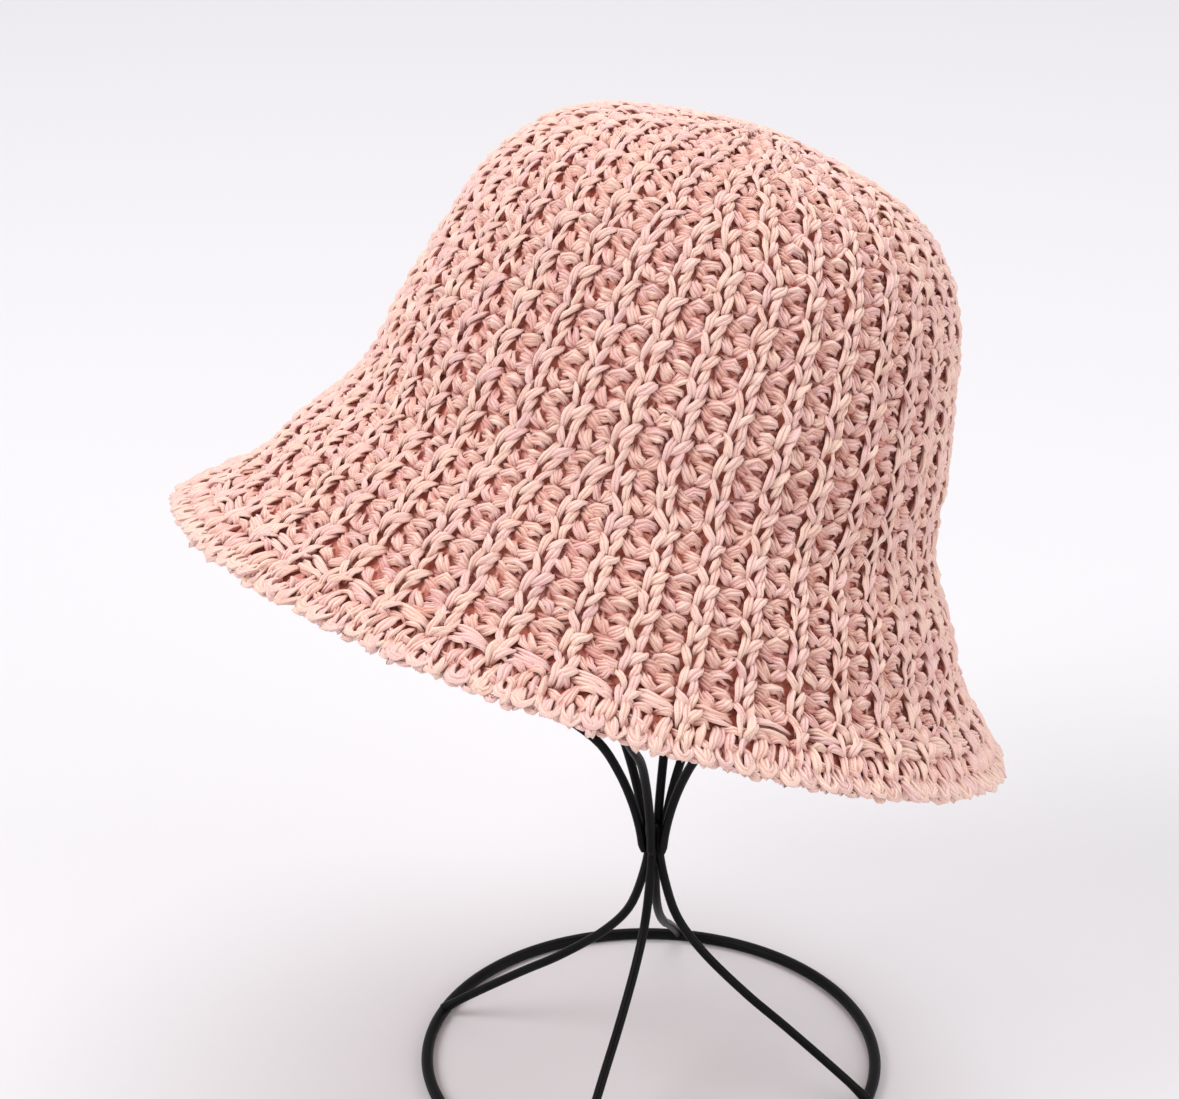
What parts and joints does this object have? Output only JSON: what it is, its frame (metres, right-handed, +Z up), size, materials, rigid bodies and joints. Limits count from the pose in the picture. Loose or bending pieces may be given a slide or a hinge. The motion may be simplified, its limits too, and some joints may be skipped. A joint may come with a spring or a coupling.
{
  "type": "crochet bucket hat on a wire hat stand",
  "caption": "Soft crocheted bucket hat with raised ribs, a flared brim and a stitched border, leaning on a black wire stand with a foot ring, a bundled neck and a domed cage.",
  "frame": {"origin": "on the surface that the foot ring stands on, under the middle of the whole part", "axes": "+Z up, along the stand's neck; -Y towards the front, where the hat's brim is seen from above; +X to the right, the side that the hat leans to"},
  "size_m": [0.2796, 0.271, 0.356],
  "materials": {
    "yarn": "matte twisted yarn, pink flecked with peach and lilac",
    "black_paint": "satin black paint on steel wire"
  },
  "bodies": {
    "root": {"crown_top": "yarn", "crown_side": "yarn", "brim": "yarn", "rim_border": "yarn", "wire_stand": "black_paint"}
  },
  "joints": []
}
